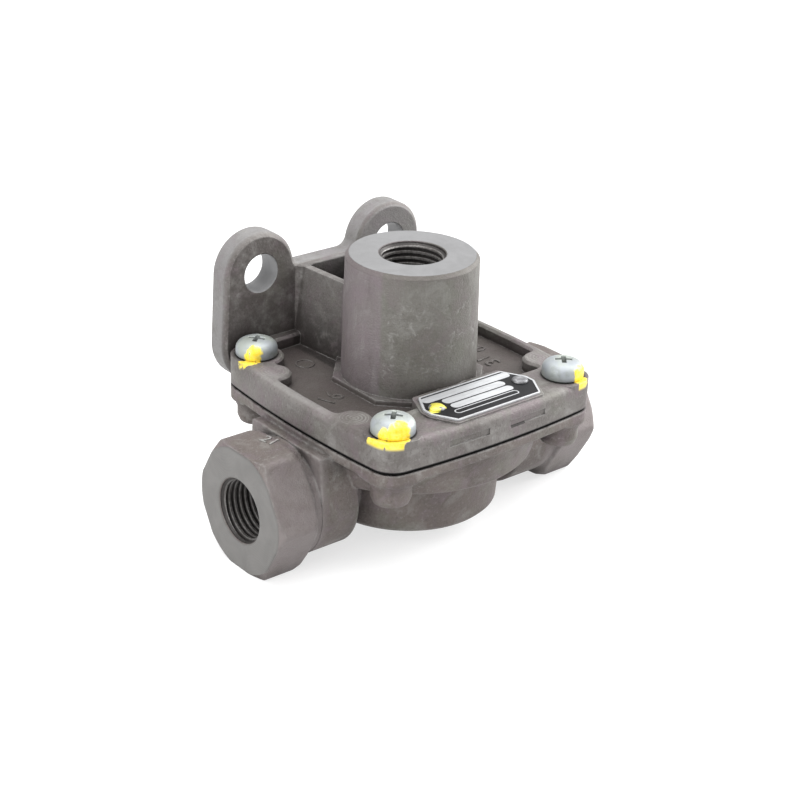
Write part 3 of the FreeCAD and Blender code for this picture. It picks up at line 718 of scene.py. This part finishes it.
def makePiece(name, bm, finish, smooth=35):
    # takes a bmesh laid out in local millimetres into the frame, on the housing
    bmesh.ops.scale(bm, vec=(mm, mm, mm), verts=bm.verts)
    bmesh.ops.translate(bm, vec=valveAxis, verts=bm.verts)
    for face in bm.faces:
        face.smooth = True
    for edge in bm.edges:
        if len(edge.link_faces) == 2 and edge.calc_face_angle() > math.radians(smooth):
            edge.smooth = False
    mesh = bpy.data.meshes.new(name)
    bm.to_mesh(mesh)
    bm.free()
    piece = bpy.data.objects.new(name, mesh)
    bpy.context.collection.objects.link(piece)
    mesh.materials.append(finishes[finish])
    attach(piece, "housing")
    return piece


def turned(profile, steps, at=(0, 0, 0)):
    # a closed solid of revolution; the profile (r, z) starts and ends on the axis
    bm = bmesh.new()
    ring = [bm.verts.new((r, 0, z)) for r, z in profile]
    line = [bm.edges.new(pair) for pair in zip(ring, ring[1:])]
    bmesh.ops.spin(bm, geom=ring + line, cent=(0, 0, 0), axis=(0, 0, 1), angle=2 * math.pi,
                   steps=steps, use_merge=True, use_duplicate=False)
    bmesh.ops.remove_doubles(bm, verts=bm.verts, dist=1e-4)
    bmesh.ops.recalc_face_normals(bm, faces=bm.faces)
    bmesh.ops.translate(bm, vec=at, verts=bm.verts)
    return bm


# Threads

def threadTurns(length):
    # the flanks of an inner thread, spun from one pitch of its profile
    pitch, crest, root = thread["pitch"], thread["crest"], thread["root"]
    turns = math.ceil(length / pitch) + 2
    bm = bmesh.new()
    across = [(root, 0), (root, 0.20), (0.5 * (root + crest), 0.405), (crest, 0.61), (crest, 0.85),
              (crest, 1.09), (0.5 * (root + crest), 1.295), (root, pitch)]
    points = [bm.verts.new((r, 0, z - 1.5 * pitch)) for r, z in across]
    line = [bm.edges.new(pair) for pair in zip(points, points[1:])]
    bmesh.ops.spin(bm, geom=points + line, cent=(0, 0, 0), axis=(0, 0, 1),
                   dvec=(0, 0, pitch / thread["steps"]), angle=2 * math.pi * turns,
                   steps=thread["steps"] * turns, use_merge=False, use_duplicate=False)
    bmesh.ops.remove_doubles(bm, verts=bm.verts, dist=1e-3)
    return bm


def threadLining(name, foot, length, wayOut):
    bm = threadTurns(length)
    for height, outer in ((0, False), (length, True)):
        bmesh.ops.bisect_plane(bm, geom=bm.verts[:] + bm.edges[:] + bm.faces[:], plane_co=(0, 0, height),
                               plane_no=(0, 0, 1), clear_outer=outer, clear_inner=not outer)
    # countersunk mouth
    for vert in bm.verts:
        radius = math.hypot(vert.co.x, vert.co.y)
        cone = thread["crest"] + vert.co.z - (length - thread["mouthDepth"])
        wanted = min(max(radius, cone), thread["root"] + 0.01)
        vert.co.xy *= wanted / radius
    # back wall, bridged from end to end
    rims = [edge for edge in bm.edges if edge.is_boundary]
    made = bmesh.ops.extrude_edge_only(bm, edges=rims)["geom"]
    for vert in (item for item in made if isinstance(item, bmesh.types.BMVert)):
        vert.co.xy *= thread["wall"] / math.hypot(vert.co.x, vert.co.y)
    outerRims = [edge for edge in bm.edges if edge.is_boundary]
    bmesh.ops.bridge_loops(bm, edges=outerRims)
    bmesh.ops.recalc_face_normals(bm, faces=bm.faces)
    turn = Vector((0, 0, 1)).rotation_difference(Vector(wayOut)).to_matrix().to_4x4()
    bmesh.ops.transform(bm, matrix=Matrix.Translation(foot) @ turn, verts=bm.verts)
    return makePiece(name, bm, "thread", smooth=25)


for name, (foot, length, wayOut) in thread["ports"].items():
    lining = threadLining(name, foot, length, wayOut)
    print(name, len(lining.data.polygons), "faces")


# Cover screws, as pieces

def screwProfile():
    seat, r, edge = screw["seat"], screw["headRadius"], screw["edgeHeight"]
    tip = seat - screw["length"]
    shank = screw["shankRadius"]
    cut = screw["tipChamfer"]
    profile = [(0, tip), (shank - cut, tip), (shank, tip + cut), (shank, seat)]
    profile += [(r - inward, seat + rise) for inward, rise in screw["underside"]]
    power = 2 / screw["fullness"]
    dome = screw["headHeight"] - edge
    for i in range(screw["domeSteps"] + 1):
        turn = math.radians(90 * i / screw["domeSteps"])
        height = seat + edge + dome * math.sin(turn) ** power
        profile.append((r * max(math.cos(turn), 0) ** power, height))
    profile[-1] = (0, seat + screw["headHeight"])
    return profile


def crossBlade(angle):
    # one tapered blade of the cross recess
    depth = screw["crossDepth"]
    bm = bmesh.new()
    bmesh.ops.create_cube(bm, size=1)
    bmesh.ops.scale(bm, vec=(screw["crossLength"], screw["crossWidth"], depth + 1), verts=bm.verts)
    low = [vert for vert in bm.verts if vert.co.z < 0]
    bmesh.ops.scale(bm, vec=screw["crossTaper"], verts=low)
    crown = screw["seat"] + screw["headHeight"]
    bmesh.ops.translate(bm, vec=(0, 0, crown + 0.5 - depth / 2), verts=bm.verts)
    bmesh.ops.rotate(bm, cent=(0, 0, 0), matrix=Matrix.Rotation(math.radians(angle), 3, "Z"), verts=bm.verts)
    return bm


def cutWith(piece, cutter):
    # takes the cutter's shape out of the piece, for good
    taken = piece.modifiers.new("recess", "BOOLEAN")
    taken.object = cutter
    taken.solver = "EXACT"
    seen = piece.evaluated_get(bpy.context.evaluated_depsgraph_get())
    piece.data = bpy.data.meshes.new_from_object(seen)
    piece.modifiers.clear()
    bpy.data.objects.remove(cutter)


def coverScrew(place, sideX, sideY, turn):
    at = (sideX * screw["reach"], sideY * screw["reach"], 0)
    piece = makePiece("panScrew_" + place, turned(screwProfile(), screw["steps"], at), "screw")
    for quarter in (0, 90):
        blade = crossBlade(turn + quarter)
        bmesh.ops.translate(blade, vec=at, verts=blade.verts)
        cutWith(piece, makePiece("blade", blade, "screw"))
    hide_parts("cover_screw_" + place)


for place, (sideX, sideY, turn) in screw["places"].items():
    coverScrew(place, sideX, sideY, turn)
print("cover screws made")


# Drive rivets of the plate

def plateRivet(side, x, y):
    seat, r, h = rivet["seat"], rivet["radius"], rivet["height"]
    foot = seat - rivet["length"]
    inward, rise = rivet["rim"]
    shank = rivet["shank"]
    profile = [(0, foot), (shank, foot), (shank, seat), (r - inward, seat), (r, seat + rise)]
    for i in range(1, rivet["domeSteps"] + 1):
        turn = math.radians(90 * i / rivet["domeSteps"])
        profile.append((r * math.cos(turn), seat + rise + (h - rise) * math.sin(turn)))
    profile[-1] = (0, seat + h)
    piece = makePiece("driveRivet_" + side, turned(profile, rivet["steps"], (x, y, 0)), "rivet")
    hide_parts("plate_rivet_" + side)


for side, (x, y) in rivet["places"].items():
    plateRivet(side, x, y)


# Return spring; the real one shortens as the diaphragm is pushed down, this coil keeps its length

spring = {
    "radius": 5.0,
    "wire": 0.45,
    "endTurns": 1,             # closed turns at each end
    "gap": 0.04,               # between two closed turns
    "liveTurns": 3,
    "steps": 36,               # in one turn
    "section": 10,
}


def coilSpring():
    # fills the box of the plain spring that it stands for
    low, high = (corner[2] / mm - valveAxis.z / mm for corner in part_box("return_spring"))
    wire = spring["wire"]
    bm = bmesh.new()
    place = Matrix.Translation((spring["radius"], 0, low + wire)) @ Matrix.Rotation(math.radians(90), 4, "X")
    bmesh.ops.create_circle(bm, segments=spring["section"], radius=wire, cap_ends=True, matrix=place)
    geom = bm.verts[:] + bm.edges[:]
    end = (spring["endTurns"], (2 * wire + spring["gap"]) * spring["endTurns"])
    live = (spring["liveTurns"], high - low - 2 * wire - 2 * end[1])
    for turns, rise in (end, live, end):
        steps = turns * spring["steps"]
        geom = bmesh.ops.spin(bm, geom=geom, cent=(0, 0, 0), axis=(0, 0, 1), dvec=(0, 0, rise / steps),
                              angle=2 * math.pi * turns, steps=steps, use_merge=False,
                              use_duplicate=False)["geom_last"]
    bmesh.ops.holes_fill(bm, edges=[edge for edge in bm.edges if edge.is_boundary])
    bmesh.ops.remove_doubles(bm, verts=bm.verts, dist=1e-4)
    bmesh.ops.recalc_face_normals(bm, faces=bm.faces)
    piece = makePiece("coilSpring", bm, "spring", smooth=60)
    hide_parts("return_spring")
    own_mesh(piece)
    return piece


print("return spring", len(coilSpring().data.polygons), "faces")


# Cast marks: plain numbers and a ring

marks = {
    "height": 0.22,
    "letterScale": 1.35,       # font size for a letter height of 1
    # text, centre, letter height, turn in degrees, which finish
    "numbers": [
        ("16", (-22.9, 0.6, 4.1), 5.0, 20, "cover"),
        ("08", (25.0, 3.0, 4.1), 3.4, 95, "cover"),
        ("31", (22.0, -4.5, 4.1), 4.4, 95, "cover"),
        ("21", (-40.4, 0.9, -2.0), 3.3, -75, "mark"),
    ],
    # centre, inner radius, width
    "ring": ((-16.2, 20.0, 4.1), 2.0, 0.5),
    "ringSteps": 48,
}


def castNumber(text, centre, size, turn, finish):
    # raised figures, sunk a little into the face that carries them
    curve = bpy.data.curves.new("figures", "FONT")
    curve.body = text
    curve.size = size * marks["letterScale"]
    curve.align_x = "CENTER"
    curve.align_y = "CENTER"
    curve.extrude = marks["height"]
    curve.resolution_u = 4
    holder = bpy.data.objects.new("figures", curve)
    bpy.context.collection.objects.link(holder)
    mesh = bpy.data.meshes.new_from_object(holder.evaluated_get(bpy.context.evaluated_depsgraph_get()))
    bpy.data.objects.remove(holder)
    bm = bmesh.new()
    bm.from_mesh(mesh)
    bmesh.ops.remove_doubles(bm, verts=bm.verts, dist=1e-4)
    bmesh.ops.recalc_face_normals(bm, faces=bm.faces)
    place = Matrix.Translation(centre) @ Matrix.Rotation(math.radians(turn), 4, "Z")
    bmesh.ops.transform(bm, matrix=place, verts=bm.verts)
    makePiece("castNumber_" + text, bm, finish)


for number in marks["numbers"]:
    castNumber(*number)


def castRing(centre, radius, width):
    bm = bmesh.new()
    h = marks["height"]
    corners = [(radius, -h), (radius + width, -h), (radius + width * 0.8, h), (radius + width * 0.2, h)]
    section = [bm.verts.new((r, 0, z)) for r, z in corners]
    loop = [bm.edges.new(pair) for pair in zip(section, section[1:] + section[:1])]
    bmesh.ops.spin(bm, geom=section + loop, cent=(0, 0, 0), axis=(0, 0, 1), angle=2 * math.pi,
                   steps=marks["ringSteps"], use_merge=True, use_duplicate=False)
    bmesh.ops.remove_doubles(bm, verts=bm.verts, dist=1e-4)
    bmesh.ops.recalc_face_normals(bm, faces=bm.faces)
    bmesh.ops.translate(bm, vec=centre, verts=bm.verts)
    makePiece("castRing", bm, "cover")


castRing(*marks["ring"])
print("cast marks made")


# Floor, light and camera

stage = {
    "floor": (0.36, 0.36, 0.36),
    "floorGlow": 0.66,
    "floorSize": 6.0,
    "sky": 1.0,
}


def makeStage():
    bm = bmesh.new()
    bmesh.ops.create_grid(bm, x_segments=1, y_segments=1, size=stage["floorSize"] / 2)
    bmesh.ops.translate(bm, vec=(0, 0, cadBox[0][2]), verts=bm.verts)
    mesh = bpy.data.meshes.new("floor")
    bm.to_mesh(mesh)
    bm.free()
    floor = bpy.data.objects.new("floor", mesh)
    bpy.context.collection.objects.link(floor)
    # a lit table: its glow keeps the shadows pale
    finish = Finish("paleFloor", Roughness=0.9, Base_Color=(*stage["floor"], 1),
                    Emission_Color=(1, 1, 1, 1), Emission_Strength=stage["floorGlow"])
    mesh.materials.append(finish.material)
    world = bpy.data.worlds.new("studio")
    world.use_nodes = True
    sky = world.node_tree.nodes["Background"]
    sky.inputs["Color"].default_value = (1, 1, 1, 1)
    sky.inputs["Strength"].default_value = stage["sky"]
    bpy.context.scene.world = world
    bpy.context.scene.view_settings.view_transform = "Standard"


lamps = {
    # place in metres from the valve, which they face, size in metres and power in watts
    "top": ((0.05, 0.05, 0.75), 0.7, 7.0),
    "left": ((-0.70, -0.10, 0.35), 0.5, 3.6),
    "right": ((0.60, -0.15, 0.30), 0.4, 6.0),
}


def makeLamps():
    for name, (place, size, power) in lamps.items():
        light = bpy.data.lights.new(name, "AREA")
        light.size = size
        light.energy = power
        lamp = bpy.data.objects.new(name, light)
        bpy.context.collection.objects.link(lamp)
        at = valveAxis + Vector(place)
        turn = (valveAxis - at).to_track_quat("-Z", "Y").to_matrix().to_4x4()
        lamp.matrix_world = Matrix.Translation(at) @ turn


camera = {
    "azimuth": -40.48,
    "elevation": 25.07,
    "roll": 2.11,
    "distance": 0.4347,
    "sensor": 36,
    "lens": 80.56,
    "shift": (-0.0095, -0.0110),
}


def makeCamera():
    lens = bpy.data.cameras.new("camera")
    lens.lens = camera["lens"]
    lens.sensor_width = camera["sensor"]
    lens.shift_x, lens.shift_y = camera["shift"]
    a, e, r = (math.radians(camera[key]) for key in ("azimuth", "elevation", "roll"))
    back = Vector((math.sin(a) * math.cos(e), -math.cos(a) * math.cos(e), math.sin(e)))
    right = Vector((math.cos(a), math.sin(a), 0))
    up = back.cross(right)
    axes = (right * math.cos(r) + up * math.sin(r), up * math.cos(r) - right * math.sin(r), back)
    turn = Matrix(axes).transposed().to_4x4()
    holder = bpy.data.objects.new("camera", lens)
    holder.matrix_world = Matrix.Translation(valveAxis + back * camera["distance"]) @ turn
    bpy.context.collection.objects.link(holder)
    bpy.context.scene.camera = holder


makeStage()
makeLamps()
makeCamera()
print("stage, lamps and camera made")
